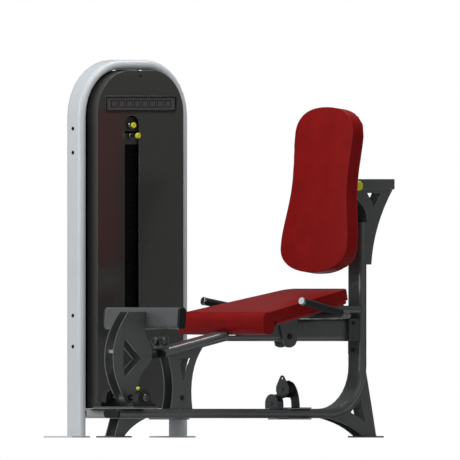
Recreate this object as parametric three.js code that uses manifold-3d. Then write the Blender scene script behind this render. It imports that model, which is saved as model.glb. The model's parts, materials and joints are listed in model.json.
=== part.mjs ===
// A selectorised leg machine: a cushioned seat and reclined back on a flat-oval tube frame, a bow-shaped
// lever with a cross foot bar that turns on pillow blocks near the floor, and a shrouded weight tower
// beside the seat. Millimetres, +Z up. X runs from the foot end to the backrest, Y towards the tower.
import * as THREE from "three";
import { mergeVertices } from "three/addons/utils/BufferGeometryUtils.js";
import Module from "manifold-3d";

const wasm = await Module();
wasm.setup();

// Driving dimensions. X is measured from the lever pivot, Y from the seat's centre line, Z from the floor.
const GAP = 0.3; // clearance between touching pieces
const TUBE_WIDE = 89; // flat-oval frame tube, wide side
const TUBE_THIN = 38; // flat-oval frame tube, thin side
const TUBE_WALL = 3;
const PLATE = 6; // steel plate thickness
const PLATE_Y = 25; // paired plates stand this far each side of the centre line
const FLOOR_PLATE = 6.5;
const BASE_Z = 96.5; // centre of the floor-level tubes
const BASE_TOP = BASE_Z + TUBE_THIN / 2;
const BASE_BOTTOM = BASE_Z - TUBE_THIN / 2;
const BASE_START_X = -71;
const POST_X = 1258;
const POST_TOP = 862;
const POST_BEND = 190;
const POST_FRONT = POST_X - TUBE_THIN / 2;
const POST_BACK = POST_X + TUBE_THIN / 2;
const PLATFORM = { x: 134, y: 240, bottom: BASE_TOP + GAP, top: 124 };
const PIVOT_Z = 160;
const BLOCK_Y = 94; // pillow-block centres
const SLOPE_START = { x: 177, z: 337 }; // sloped rail centre line
const SLOPE_END = { x: 520, z: 405.5 };
const RAIL_Z = 430; // centre of the on-edge seat rail
const RAIL_BOTTOM = RAIL_Z - TUBE_WIDE / 2;
const RAIL_TOP = RAIL_Z + TUBE_WIDE / 2;
const RAIL_START_X = 525;
const RAIL_BRACKET = { front: 1180, back: POST_FRONT - GAP, y: 35.5, lugY: 28, bottom: 334, top: 476 };
const ROLL_UNDERSIDE = { x: 612, z: 409 }; // the rail stays below the seat's front roll up to here
const SEAT = { x: 537, z: 500, length: 520, front: 505, rear: 358, slope: THREE.MathUtils.degToRad(10.7) };
const SEAT_PAD = 46;
const SEAT_BOARD = 12;
const SEAT_ROLL = { front: 514, depth: 61, bottom: 412.4, height: 88, round: 22 };
const BACK = { x: 1006, z: 661, length: 667, tilt: THREE.MathUtils.degToRad(7.2) };
const BACK_PAD = 55;
const BACK_BOARD = 10;
const SLEEVE = { start: 1200, end: 1433, y: 60, bottom: 992 + GAP, z: 42, wall: 3.5 };
const SLEEVE_Z = SLEEVE.bottom + SLEEVE.z / 2;
const SLIDE_CLEARANCE = 0.6;
const POP_PIN = { x: 1215, z: 1007 };
const HANDLE = { x: 1005, z: RAIL_TOP + GAP + 13, r: 13, bendY: 232, frontX: 696, frontY: 290, frontZ: 545 };
const LOWER_PULLEY = { x: 806.5, z: 137, r: 30 }; // it dips into a slot in the base tube
const TOWER = { x: 707, y: 761, half: 276, top: 1511, bend: 207 };
const SHROUD = { width: 466, bottom: BASE_TOP + 0.8, top: 1468, round: 170, depth: 61, skin: 3, reach: 79 };
const SLOT = { x: 660, width: 77, bottom: 330, top: 1288 };
const STACK = { x: SLOT.x, y: 736, wide: 250, deep: 76, bottom: 141, pitch: 25.8, fixed: 28, lifted: 12 };
const STACK_SPLIT = STACK.bottom + STACK.fixed * STACK.pitch;
const STACK_TOP = STACK_SPLIT + STACK.lifted * STACK.pitch;
const HEAD_TOP = STACK_TOP + 46;
const ADD_ON_TOP = HEAD_TOP + 66;
const ROD = { spacing: 90, r: 9.5, bore: 11, top: 1400 };
const CROSS_X = 918; // floor tube that joins the seat frame to the tower

const PAINT = new THREE.MeshStandardMaterial({ color: 0x464644, roughness: 0.35, metalness: 0.4 });
const SILVER = new THREE.MeshStandardMaterial({ color: 0xcdd2d5, roughness: 0.35, metalness: 0.5 });
const SHROUD_PLASTIC = new THREE.MeshStandardMaterial({ color: 0x40403d, roughness: 0.2, metalness: 0 });
const BLACK = new THREE.MeshStandardMaterial({ color: 0x0a0c0a, roughness: 0.6, metalness: 0 });
const IRON = new THREE.MeshStandardMaterial({ color: 0x2c2d2c, roughness: 0.6, metalness: 0.3 });
const STEEL = new THREE.MeshStandardMaterial({ color: 0xb4b7ba, roughness: 0.3, metalness: 0.9 });
const RED = new THREE.MeshStandardMaterial({ color: 0x8e1e21, roughness: 0.45, metalness: 0 });
const YELLOW = new THREE.MeshStandardMaterial({ color: 0xcdcd32, roughness: 0.4, metalness: 0 });

const machine = new THREE.Group();
const MIRROR = { left: -1, right: 1 }; // the user's left is -Y

function add(name, geometry, material, place) {
  const mesh = new THREE.Mesh(geometry, material);
  mesh.name = name;
  if (place) {
    if (place.position) mesh.position.set(...place.position);
    if (place.rotation) mesh.rotation.set(...place.rotation);
  }
  machine.add(mesh);
  return mesh;
}

// --- Solids -------------------------------------------------------------------------------------------

function toSolid(geometry) {
  const bare = (geometry.index ? geometry.toNonIndexed() : geometry.clone());
  bare.deleteAttribute("normal");
  bare.deleteAttribute("uv");
  const merged = mergeVertices(bare, 1e-3);
  return new wasm.Manifold(
    new wasm.Mesh({
      numProp: 3,
      vertProperties: merged.attributes.position.array,
      triVerts: new Uint32Array(merged.index.array),
    }),
  );
}

function toGeometry(solid) {
  const mesh = solid.getMesh();
  const geometry = new THREE.BufferGeometry();
  geometry.setAttribute("position", new THREE.BufferAttribute(mesh.vertProperties, 3));
  geometry.setIndex(new THREE.BufferAttribute(mesh.triVerts, 1));
  geometry.computeVertexNormals();
  return geometry;
}

function join(...geometries) {
  return toGeometry(geometries.map(toSolid).reduce((whole, piece) => whole.add(piece)));
}

function cut(geometry, ...tools) {
  return toGeometry(tools.map(toSolid).reduce((whole, tool) => whole.subtract(tool), toSolid(geometry)));
}

// --- Outlines -----------------------------------------------------------------------------------------

// A rectangle centred on (x, y) with round corners, w wide and h high.
function roundRect(w, h, r, x = 0, y = 0) {
  const shape = new THREE.Shape();
  const a = w / 2 - r;
  const b = h / 2 - r;
  shape.absarc(x + a, y - b, r, -Math.PI / 2, 0);
  shape.absarc(x + a, y + b, r, 0, Math.PI / 2);
  shape.absarc(x - a, y + b, r, Math.PI / 2, Math.PI);
  shape.absarc(x - a, y - b, r, Math.PI, 1.5 * Math.PI);
  shape.closePath();
  return shape;
}

// The flat-oval tube section. Its ends are round, with a sliver of flat between the quarter turns, and
// its bore is eight-sided, since it isn't seen.
function ovalSection(w, h, wall = TUBE_WALL) {
  const shape = roundRect(w, h, Math.min(w, h) / 2 - 0.5);
  if (!wall) return shape;
  const a = w / 2 - wall;
  const b = h / 2 - wall;
  const c = 10;
  shape.holes.push(outline([
    [a, b - c], [a - c, b], [c - a, b], [-a, b - c],
    [-a, c - b], [c - a, -b], [a - c, -b], [a, c - b],
  ]));
  return shape;
}

function ring(outer, inner) {
  const shape = new THREE.Shape().absarc(0, 0, outer, 0, 2 * Math.PI);
  shape.holes.push(new THREE.Path().absarc(0, 0, inner, 0, 2 * Math.PI));
  return shape;
}

// An outline through points; a point with a third value is the control point of a curve to the next one.
function outline(points) {
  const shape = new THREE.Shape().moveTo(points[0][0], points[0][1]);
  for (let i = 1; i < points.length; i += 1) {
    const [x, y, bend] = points[i];
    if (bend) {
      i += 1;
      shape.quadraticCurveTo(x, y, points[i][0], points[i][1]);
    } else {
      shape.lineTo(x, y);
    }
  }
  shape.closePath();
  return shape;
}

const CURVE = true; // marks a control point in an outline

// --- Sweeps -------------------------------------------------------------------------------------------

// A path of straight runs with round bends at its corners. It is walked station by station, so that a
// straight run takes one step and a bend takes several.
class BentPath extends THREE.Curve {
  constructor(corners, radius, stepsPerBend) {
    super();
    const points = corners.map((c) => new THREE.Vector3(...c));
    const last = points.length - 1;
    this.stations = [{ point: points[0], tangent: points[1].clone().sub(points[0]).normalize() }];
    for (let i = 1; i < last; i += 1) {
      this.addBend(points[i - 1], points[i], points[i + 1], radius, stepsPerBend);
    }
    const tangent = points[last].clone().sub(points[last - 1]).normalize();
    this.stations.push({ point: points[last], tangent });
  }

  addBend(before, corner, after, radius, steps) {
    const a = corner.clone().sub(before).normalize();
    const b = after.clone().sub(corner).normalize();
    const turn = a.angleTo(b);
    const side = b.clone().addScaledVector(a, -a.dot(b)).normalize();
    const start = corner.clone().addScaledVector(a, -radius * Math.tan(turn / 2));
    const centre = start.clone().addScaledVector(side, radius);
    for (let k = 0; k <= steps; k += 1) {
      const angle = (turn * k) / steps;
      const point = centre.clone()
        .addScaledVector(side, -radius * Math.cos(angle))
        .addScaledVector(a, radius * Math.sin(angle));
      const tangent = a.clone().multiplyScalar(Math.cos(angle)).addScaledVector(side, Math.sin(angle));
      this.stations.push({ point, tangent });
    }
  }

  station(t) {
    return this.stations[Math.round(t * (this.stations.length - 1))];
  }

  getPoint(t) {
    return this.station(t).point.clone();
  }

  getPointAt(t) {
    return this.getPoint(t);
  }

  getTangent(t) {
    return this.station(t).tangent.clone();
  }

  getTangentAt(t) {
    return this.getTangent(t);
  }
}

function sweep(section, corners, radius, stepsPerBend, curveSegments = 4) {
  const path = new BentPath(corners, radius, stepsPerBend);
  const steps = path.stations.length - 1;
  return new THREE.ExtrudeGeometry(section, { extrudePath: path, steps, curveSegments });
}

function extrude(shape, depth, curveSegments = 6, bevel = 0) {
  return new THREE.ExtrudeGeometry(shape, {
    depth: depth - 2 * bevel,
    curveSegments,
    bevelEnabled: bevel > 0,
    bevelThickness: bevel,
    bevelSize: bevel,
    bevelOffset: -bevel,
    bevelSegments: 1,
  }).translate(0, 0, bevel);
}

// An outline drawn in X and Z, extruded along Y and centred on y.
function plateAcross(shape, thickness, y, curveSegments = 6) {
  return extrude(shape, thickness, curveSegments).rotateX(Math.PI / 2).translate(0, y + thickness / 2, 0);
}

// An outline drawn in Y and Z, extruded along X from x.
function plateAlong(shape, thickness, x, curveSegments = 6) {
  const plate = extrude(shape, thickness, curveSegments);
  return plate.rotateX(Math.PI / 2).rotateZ(Math.PI / 2).translate(x, 0, 0);
}

function box(low, high) {
  const size = high.map((v, i) => v - low[i]);
  const centre = high.map((v, i) => (v + low[i]) / 2);
  return new THREE.BoxGeometry(...size).translate(...centre);
}

function cylinder(r, length, axis, centre, sides = 20) {
  const made = new THREE.CylinderGeometry(r, r, length, sides);
  if (axis === "x") made.rotateZ(Math.PI / 2);
  if (axis === "z") made.rotateX(Math.PI / 2);
  return made.translate(...centre);
}

// A turned piece: its profile gives radius and distance along the axis, starting and ending on the axis.
function turned(profile, axis, centre, sides = 20) {
  const made = new THREE.LatheGeometry(profile.map(([r, h]) => new THREE.Vector2(r, h)), sides);
  if (axis === "x") made.rotateZ(-Math.PI / 2);
  if (axis === "z") made.rotateX(Math.PI / 2);
  if (axis === "-y") made.rotateX(Math.PI);
  return made.translate(...centre);
}

// --- Floor frame and post -----------------------------------------------------------------------------

function buildBase() {
  const corners = [[BASE_START_X, 0, BASE_Z], [POST_X, 0, BASE_Z], [POST_X, 0, POST_TOP]];
  const tube = sweep(ovalSection(TUBE_THIN, TUBE_WIDE), corners, POST_BEND, 10);
  const { x, r } = LOWER_PULLEY;
  const slot = box([x - 12, -r - 2, BASE_TOP - 2 * TUBE_WALL], [x + 12, r + 2, BASE_TOP + 1]);
  add("base_tube", cut(tube, slot), PAINT);
  const cap = extrude(roundRect(TUBE_WIDE, TUBE_THIN, TUBE_THIN / 2 - 0.5), 11, 3, 2);
  const front = cap.clone().rotateX(Math.PI / 2).rotateZ(Math.PI / 2);
  add("base_front_cap", front.translate(BASE_START_X - 11 - GAP, 0, BASE_Z), BLACK);
  const top = cap.clone().rotateZ(Math.PI / 2);
  add("post_top_cap", top.translate(POST_X, 0, POST_TOP + GAP), BLACK);
}

function buildFrontFoot() {
  const top = BASE_BOTTOM - GAP;
  const side = outline([[-61, top], [-87, 5], [-35, 5], [2, 48, CURVE], [82, top]]);
  const plates = [-27, 27].map((y) => plateAcross(side, PLATE, y));
  const floor = box([-116, -51, 0], [-14, 51, FLOOR_PLATE]);
  add("front_foot", join(floor, ...plates), PAINT);
}

function buildRearFoot() {
  const r = POST_BEND + TUBE_THIN / 2 + GAP;
  const bendX = POST_X - POST_BEND;
  const bendZ = BASE_Z + POST_BEND;
  const side = new THREE.Shape().moveTo(bendX + 8, bendZ - r + 0.2);
  side.quadraticCurveTo(1190, 56, 1262, 5);
  side.lineTo(1335, 5);
  side.quadraticCurveTo(1312, 120, bendX + r, bendZ - 10);
  side.absarc(bendX, bendZ, r, -0.05, -Math.PI / 2 + 0.04, true);
  side.closePath();
  side.holes.push(outline([[1250, 150], [1196, 101], [1272, 66]]));
  const plates = [-PLATE_Y, PLATE_Y].map((y) => plateAcross(side, PLATE, y, 12));
  const floor = box([1253, -51, 0], [1355, 51, FLOOR_PLATE]);
  add("rear_foot", join(floor, ...plates), PAINT);
}

function buildCrossTube() {
  const start = TUBE_WIDE / 2 + GAP;
  const end = TOWER.y - TUBE_WIDE / 2 - GAP;
  const tube = extrude(ovalSection(TUBE_WIDE, TUBE_THIN), end - start, 4)
    .rotateX(-Math.PI / 2)
    .translate(CROSS_X, start, BASE_Z);
  const above = BASE_TOP + GAP;
  const below = BASE_BOTTOM - GAP;
  const topPlate = box([898, -44, above], [968, 96, above + 5]);
  const bottomPlate = box([860, -44, below - 5], [968, 96, below]);
  const towerPlate = box([865, 660, below - 5], [952, 805, below]);
  const welds = [
    box([900, 60, BASE_TOP - 1.5], [936, 80, above + 1]),
    box([900, 60, below - 1], [936, 80, BASE_BOTTOM + 1.5]),
    box([900, 690, below - 1], [936, 710, BASE_BOTTOM + 1.5]),
  ];
  add("cross_tube", join(tube, topPlate, bottomPlate, towerPlate, ...welds), PAINT);
}

// --- Lever and its bearings ---------------------------------------------------------------------------

function buildBearings() {
  const { x, y, bottom, top } = PLATFORM;
  add("lever_platform", box([-x / 2, -y / 2, bottom], [x / 2, y / 2, top]), PAINT);
  const base = top + GAP;
  const body = outline([
    [-63.5, base], [63.5, base], [63.5, base + 13], [38, base + 15], [31, PIVOT_Z + 12],
    [22, PIVOT_Z + 30, CURVE], [0, PIVOT_Z + 31], [-22, PIVOT_Z + 30, CURVE], [-31, PIVOT_Z + 12],
    [-38, base + 15], [-63.5, base + 13],
  ]);
  for (const [side, sign] of Object.entries(MIRROR)) {
    const block = plateAcross(body, 30, sign * BLOCK_Y);
    const boss = cylinder(21, 38, "y", [0, sign * BLOCK_Y, PIVOT_Z], 24);
    const bore = cylinder(11, 60, "y", [0, sign * BLOCK_Y, PIVOT_Z], 24);
    add(`pillow_block_${side}`, cut(join(block, boss), bore), IRON);
    const nipple = [[0, 0], [4, 0], [4, 4], [8, 5.5], [8, 10], [4.5, 13], [0, 13]];
    add(`grease_nipple_${side}`, turned(nipple, "z", [0, 0, 0], 8), YELLOW, {
      position: [sign * 17, sign * BLOCK_Y, PIVOT_Z + 30.6],
      rotation: [0, sign * THREE.MathUtils.degToRad(28), 0],
    });
  }
}

function buildLever() {
  const side = outline([
    [-11, 503], [-94, 410, CURVE], [-93, 318], [-92, 230, CURVE], [-22, 143], [-4, 124, CURVE],
    [18, 133], [42, 150, CURVE], [41, 190], [40, 246, CURVE], [84, 277], [122, 300, CURVE],
    [116, 345], [110, 380, CURVE], [80, 412], [80, 503],
  ]);
  side.holes.push(outline([[-30, 398], [-48, 315, CURVE], [-30, 240], [60, 315]]));
  side.holes.push(new THREE.Path().absarc(0, PIVOT_Z, 14.3, 0, 2 * Math.PI));
  side.holes.push(new THREE.Path().absarc(44, 432, 5, 0, 2 * Math.PI));
  for (const [name, sign] of Object.entries(MIRROR)) {
    add(`lever_plate_${name}`, plateAcross(side, PLATE, sign * PLATE_Y, 8), PAINT);
  }
  const inner = 2 * (PLATE_Y - PLATE / 2 - GAP);
  const hub = extrude(ring(24, 10.4), inner, 12).rotateX(Math.PI / 2).translate(0, inner / 2, PIVOT_Z);
  add("lever_hub", hub, PAINT);
  add("pivot_shaft", cylinder(10, 2 * (BLOCK_Y + 22), "y", [0, 0, PIVOT_Z], 24), STEEL);
  add("lever_spacer", cylinder(13, inner, "y", [-68, 0, 344], 16), STEEL);
}

function buildFootBar() {
  const tilt = THREE.MathUtils.degToRad(4);
  const bar = new THREE.Group();
  bar.position.set(101, 0, 477);
  bar.rotation.y = tilt;
  machine.add(bar);
  const length = 432;
  const tube = extrude(ovalSection(TUBE_THIN, TUBE_WIDE), length, 5).rotateX(Math.PI / 2);
  const middle = new THREE.Mesh(tube.translate(0, length / 2, 0), PAINT);
  middle.name = "foot_bar";
  bar.add(middle);
  for (const [name, sign] of Object.entries(MIRROR)) {
    const cap = extrude(ovalSection(TUBE_THIN, TUBE_WIDE, 0), 11, 4, 2).rotateX(Math.PI / 2);
    const inside = sign * (length / 2 + GAP);
    const mesh = new THREE.Mesh(cap.translate(0, sign > 0 ? inside + 11 : inside, 0), BLACK);
    mesh.name = `foot_bar_cap_${name}`;
    bar.add(mesh);
  }
}

// --- Rails and gussets under the seat -----------------------------------------------------------------

const slopeRun = SLOPE_END.x - SLOPE_START.x;
const slopeRise = SLOPE_END.z - SLOPE_START.z;
const slopeLength = Math.hypot(slopeRun, slopeRise);
const slopeAngle = Math.atan2(slopeRise, slopeRun);

// Height of the sloped rail's underside at x.
function slopeUnderside(x) {
  return SLOPE_START.z + (x - SLOPE_START.x) * Math.tan(slopeAngle) - TUBE_THIN / 2 / Math.cos(slopeAngle);
}

// Height of the seat plate's underside at x.
function seatUnderside(x) {
  const layers = SEAT_PAD + SEAT_BOARD + PLATE + 3 * GAP;
  return SEAT.z + (x - SEAT.x) * Math.tan(SEAT.slope) - layers / Math.cos(SEAT.slope);
}

function buildSlopedRail() {
  const tube = extrude(ovalSection(TUBE_WIDE, TUBE_THIN), slopeLength, 4)
    .rotateX(Math.PI / 2)
    .rotateZ(Math.PI / 2)
    .rotateY(-slopeAngle)
    .translate(SLOPE_START.x, 0, SLOPE_START.z);
  const upright = box([190, -42, 350], [196, 42, 404]);
  const rollSpace = box([SEAT_ROLL.front - GAP, -60, SEAT_ROLL.bottom - GAP], [620, 60, 520]);
  add("sloped_rail", cut(join(tube, upright), rollSpace), PAINT);
  const cap = extrude(ovalSection(TUBE_WIDE, TUBE_THIN, 0), 10, 4, 2)
    .rotateX(Math.PI / 2)
    .rotateZ(Math.PI / 2)
    .translate(-10 - GAP, 0, 0)
    .rotateY(-slopeAngle)
    .translate(SLOPE_START.x, 0, SLOPE_START.z);
  add("sloped_rail_cap", cap, IRON);
  const bumper = [[0, 0], [16, 0], [16.5, 2], [16.5, 15], [14, 18], [9, 18], [8, 13], [0, 13]];
  for (const [name, sign] of Object.entries(MIRROR)) {
    add(`stop_bumper_${name}`, turned(bumper, "x", [0, 0, 0], 20).rotateZ(Math.PI), STEEL, {
      position: [190 - GAP, sign * 23, 384],
    });
  }
  const buffer = [[0, 0], [17, 0], [17, 9], [14, 21], [8, 27], [0, 27]];
  add("lever_buffer", turned(buffer, "x", [0, 0, 0], 20).rotateZ(Math.PI), BLACK, {
    position: [SLOPE_START.x - 16, 0, 331],
  });
}

function buildGussets() {
  const foot = BASE_TOP + GAP;
  const head = (x) => slopeUnderside(x) - GAP;
  const side = outline([
    [206, head(206)], [248, 225, CURVE], [219, foot], [336, foot], [312, 268, CURVE],
    [392, head(392)],
  ]);
  side.holes.push(outline([[262, 316], [286, 228], [302, 268, CURVE], [328, 318]]));
  side.holes.push(new THREE.Path().absarc(281, 160, 6, 0, 2 * Math.PI));
  for (const [name, sign] of Object.entries(MIRROR)) {
    add(`front_gusset_${name}`, plateAcross(side, PLATE, sign * PLATE_Y, 8), PAINT);
  }
}

function buildSeatRail() {
  const tube = extrude(ovalSection(TUBE_THIN, TUBE_WIDE), RAIL_BRACKET.front + 1 - RAIL_START_X, 4)
    .rotateX(Math.PI / 2)
    .rotateZ(Math.PI / 2)
    .translate(RAIL_START_X, 0, RAIL_Z);
  const wedge = plateAcross(
    outline([
      [500, ROLL_UNDERSIDE.z], [ROLL_UNDERSIDE.x, ROLL_UNDERSIDE.z],
      [ROLL_UNDERSIDE.x, seatUnderside(ROLL_UNDERSIDE.x) - GAP], [900, seatUnderside(900) - GAP],
      [900, 600], [500, 600],
    ]),
    80, 0,
  );
  add("seat_rail", join(cut(tube, wedge), ...railBracket()), PAINT);
}

// The box bracket between the seat rail and the post: two cheeks, a face plate and a back plate.
function railBracket() {
  const { front, back, y, lugY, bottom, top } = RAIL_BRACKET;
  const cheeks = [-1, 1].map((side) => {
    const at = side * (y - PLATE / 2);
    return box([front, at - PLATE / 2, RAIL_BOTTOM], [back, at + PLATE / 2, top]);
  });
  const face = box([front, -y, RAIL_BOTTOM], [front + PLATE, y, top]);
  const rear = box([back - PLATE, -y, RAIL_BOTTOM], [back, y, top]);
  const lug = box([back - PLATE, -lugY, bottom], [back, lugY, RAIL_BOTTOM + 10]);
  return [...cheeks, face, rear, lug];
}

function buildRearRail() {
  const start = 1062;
  const end = POST_FRONT - GAP;
  const tube = extrude(ovalSection(TUBE_WIDE, 32), end - start, 4)
    .rotateX(Math.PI / 2)
    .rotateZ(Math.PI / 2)
    .translate(start, 0, 512);
  const foot = box([1075, -18, RAIL_TOP + GAP], [1125, 18, 498]);
  add("rear_rail", join(tube, foot), PAINT);
}

// --- Seat ---------------------------------------------------------------------------------------------

// The seat's plan, in from its edge by inset: x runs rearwards along the slope.
function seatPlan(inset, start = 0) {
  const length = SEAT.length - inset;
  const halfFront = SEAT.front / 2 - inset;
  const halfRear = SEAT.rear / 2 - inset;
  const corner = 30;
  const taper = (halfFront - halfRear) / SEAT.length;
  const shape = new THREE.Shape().moveTo(start, -halfFront + taper * start);
  shape.lineTo(length - corner, -halfRear - taper * corner);
  shape.quadraticCurveTo(length, -halfRear, length, -halfRear + corner);
  shape.lineTo(length, halfRear - corner);
  shape.quadraticCurveTo(length, halfRear, length - corner, halfRear + taper * corner);
  shape.lineTo(start, halfFront - taper * start);
  shape.closePath();
  return shape;
}

function buildSeat() {
  const onSlope = (geometry) => geometry.rotateY(-SEAT.slope).translate(SEAT.x, 0, SEAT.z);
  const { front, depth, bottom, height, round } = SEAT_ROLL;
  const pad = onSlope(extrude(seatPlan(0), SEAT_PAD, 5, 3).translate(0, 0, -SEAT_PAD));
  const rollOutline = roundRect(depth, height, round, front + depth / 2, bottom + height / 2);
  const roll = plateAcross(rollOutline, SEAT.front, 0, 4);
  add("seat_pad", join(pad, roll), RED);
  const board = extrude(seatPlan(6, 54), SEAT_BOARD, 5).translate(0, 0, -SEAT_PAD - GAP - SEAT_BOARD);
  add("seat_board", onSlope(board), RED);
}

function buildSeatCarrier() {
  const drop = SEAT_PAD + SEAT_BOARD + 2 * GAP;
  const plate = extrude(seatPlan(14, 62), PLATE, 5)
    .translate(0, 0, -drop - PLATE)
    .rotateY(-SEAT.slope)
    .translate(SEAT.x, 0, SEAT.z);
  const top = (x) => seatUnderside(x) + 2;
  const side = outline([
    [804, top(804)], [835, 369], [846, 360, CURVE], [865, 360], [905, 362, CURVE], [907, 404],
    [907, top(907)],
  ]);
  side.holes.push(new THREE.Path().absarc(865, 404, 6.5, 0, 2 * Math.PI));
  const sides = [-PLATE_Y, PLATE_Y].map((y) => plateAcross(side, PLATE, y, 6));
  add("seat_carrier", join(plate, ...sides), PAINT);
}

function buildHandles() {
  const { x, z, r, bendY, frontX, frontY, frontZ } = HANDLE;
  const corners = [[frontX, -frontY, frontZ], [x, -bendY, z], [x, bendY, z], [frontX, frontY, frontZ]];
  const section = new THREE.Shape().absarc(0, 0, r, 0, 2 * Math.PI);
  add("handle_bar", sweep(section, corners, 34, 6, 6), PAINT);
  for (const [name, sign] of Object.entries(MIRROR)) {
    const front = new THREE.Vector3(frontX, sign * frontY, frontZ);
    const bend = new THREE.Vector3(x, sign * bendY, z);
    const length = 256;
    const holder = new THREE.Group();
    holder.position.copy(front);
    holder.quaternion.setFromUnitVectors(new THREE.Vector3(0, 0, 1), bend.sub(front).normalize());
    machine.add(holder);
    const grip = new THREE.Mesh(extrude(ring(15.7, r + GAP), length, 10).translate(0, 0, 1), BLACK);
    grip.name = `grip_${name}`;
    const profile = [[0, -GAP], [16, -GAP], [17, -2], [17, -9], [15, -12], [0, -12]].reverse();
    const cap = new THREE.Mesh(turned(profile, "z", [0, 0, 0], 20), STEEL);
    cap.name = `grip_cap_${name}`;
    holder.add(grip, cap);
  }
}

// --- Backrest -----------------------------------------------------------------------------------------

// The hourglass outline of the back cushion, with the bottom edge at y = 0.
function backOutline(inset) {
  const L = BACK.length - inset;
  const w = (half) => half - inset;
  const shape = new THREE.Shape().moveTo(0, inset);
  shape.bezierCurveTo(w(120), inset, w(196), 40, w(196), 105);
  shape.bezierCurveTo(w(196), 190, w(161), 270, w(161), 372);
  shape.bezierCurveTo(w(161), 450, w(171), 500, w(171), 555);
  shape.bezierCurveTo(w(171), 630, w(110), L, 0, L);
  shape.bezierCurveTo(-w(110), L, -w(171), 630, -w(171), 555);
  shape.bezierCurveTo(-w(171), 500, -w(161), 450, -w(161), 372);
  shape.bezierCurveTo(-w(161), 270, -w(196), 190, -w(196), 105);
  shape.bezierCurveTo(-w(196), 40, -w(120), inset, 0, inset);
  return shape;
}

function buildBackPad() {
  const back = new THREE.Group();
  back.position.set(BACK.x, 0, BACK.z);
  back.rotation.y = BACK.tilt;
  machine.add(back);
  const upright = (geometry, depth) => (
    geometry.rotateX(Math.PI / 2).rotateZ(Math.PI / 2).translate(depth, 0, 0)
  );
  const pad = new THREE.Mesh(upright(extrude(backOutline(0), BACK_PAD, 4, 3), 0), RED);
  pad.name = "back_pad";
  const boardStart = BACK_PAD + GAP;
  const board = new THREE.Mesh(upright(extrude(backOutline(5), BACK_BOARD, 4), boardStart), RED);
  board.name = "back_board";
  back.add(pad, board);
}

// X of the back board's rear face at height z.
function backBoardRear(z) {
  const depth = BACK_PAD + BACK_BOARD + 2 * GAP;
  return BACK.x + (z - BACK.z) * Math.tan(BACK.tilt) + depth / Math.cos(BACK.tilt);
}

function buildBackSlide() {
  const y = SLEEVE.y - 2 * SLEEVE.wall - 2 * SLIDE_CLEARANCE;
  const z = SLEEVE.z - 2 * SLEEVE.wall - 2 * SLIDE_CLEARANCE;
  const start = backBoardRear(SLEEVE_Z) + 8;
  const section = roundRect(y, z, 3);
  section.holes.push(roundRect(y - 7, z - 7, 1.5));
  const tube = plateAlong(section, 1405 - start, start, 2).translate(0, 0, SLEEVE_Z);
  const plate = extrude(roundRect(110, 220, 14), PLATE, 3)
    .rotateX(Math.PI / 2)
    .rotateZ(Math.PI / 2)
    .rotateY(BACK.tilt)
    .translate(backBoardRear(SLEEVE_Z) + 0.1, 0, SLEEVE_Z);
  const neck = box([start - 6, -20, SLEEVE_Z - 16], [start + 4, 20, SLEEVE_Z + 16]);
  const holes = [0, 25, 50, 75].map((step) => (
    cylinder(4.2, 24, "y", [POP_PIN.x + step, -y / 2, POP_PIN.z], 12)
  ));
  add("back_slide", cut(join(tube, plate, neck), ...holes), PAINT);
}

function buildBackBracket() {
  const top = SLEEVE.bottom - GAP;
  const face = POST_BACK + GAP;
  const side = outline([
    [face, 692], [1309, 692], [1322, 850, CURVE], [1425, top], [1200, top], [1212, 968, CURVE],
    [1236, 952], [1278, 922, CURVE], [face + 6, 868], [face, 862],
  ]);
  side.holes.push(outline([[1287, 978], [1327, 921], [1361, 978]].reverse()));
  for (const [name, sign] of Object.entries(MIRROR)) {
    add(`back_bracket_${name}`, plateAcross(side, PLATE, sign * PLATE_Y, 8), PAINT);
  }
  const section = roundRect(SLEEVE.y, SLEEVE.z, 5);
  section.holes.push(roundRect(SLEEVE.y - 2 * SLEEVE.wall, SLEEVE.z - 2 * SLEEVE.wall, 2));
  const tube = plateAlong(section, SLEEVE.end - SLEEVE.start, SLEEVE.start, 3).translate(0, 0, SLEEVE_Z);
  const bore = cylinder(4.6, 30, "y", [POP_PIN.x, -SLEEVE.y / 2, POP_PIN.z], 12);
  add("back_sleeve", cut(tube, bore), PAINT);
}

function buildPopPin() {
  const side = -SLEEVE.y / 2 - GAP;
  const barrel = extrude(ring(10, 4.6), 14, 8).rotateX(Math.PI / 2);
  add("pop_pin_barrel", barrel.translate(POP_PIN.x, side, POP_PIN.z), STEEL);
  const knob = [[0, -3.2], [4, -3.2], [4, 15], [16, 15], [20, 19], [20, 28], [16, 33], [0, 33]];
  add("pop_pin", turned(knob, "-y", [0, 0, 0], 20), YELLOW, { position: [POP_PIN.x, side, POP_PIN.z] });
}

// --- Pulleys on the base tube -------------------------------------------------------------------------

function pulley(r, width, groove) {
  const half = width / 2;
  const profile = [
    [5.4, -half], [r, -half], [r, -half + 3], [r - groove, -2], [r - groove, 2], [r, half - 3], [r, half],
    [5.4, half], [5.4, -half],
  ];
  return new THREE.LatheGeometry(profile.map(([x, y]) => new THREE.Vector2(x, y)), 18).rotateZ(-Math.PI / 2);
}

function buildLowerPulley() {
  const { x, z, r } = LOWER_PULLEY;
  const seatOn = BASE_TOP + GAP;
  const plate = new THREE.Shape().moveTo(-37, seatOn).lineTo(37, seatOn).lineTo(37, z);
  plate.absarc(0, z, 37, 0, Math.PI);
  plate.closePath();
  const sides = [790, 818].map((sideX) => plateAlong(plate, 5, sideX, 14));
  const axle = cylinder(5, 38, "x", [x, 0, z], 16);
  const web = box([792, -37, seatOn], [820, -31, z + 8]);
  const head = cylinder(8, 5, "x", [788, 0, z], 6);
  add("lower_pulley_bracket", join(...sides, axle, web, head), SILVER);
  add("lower_pulley", pulley(r, 20, 5), BLACK, { position: [x, 0, z] });
}

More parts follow.
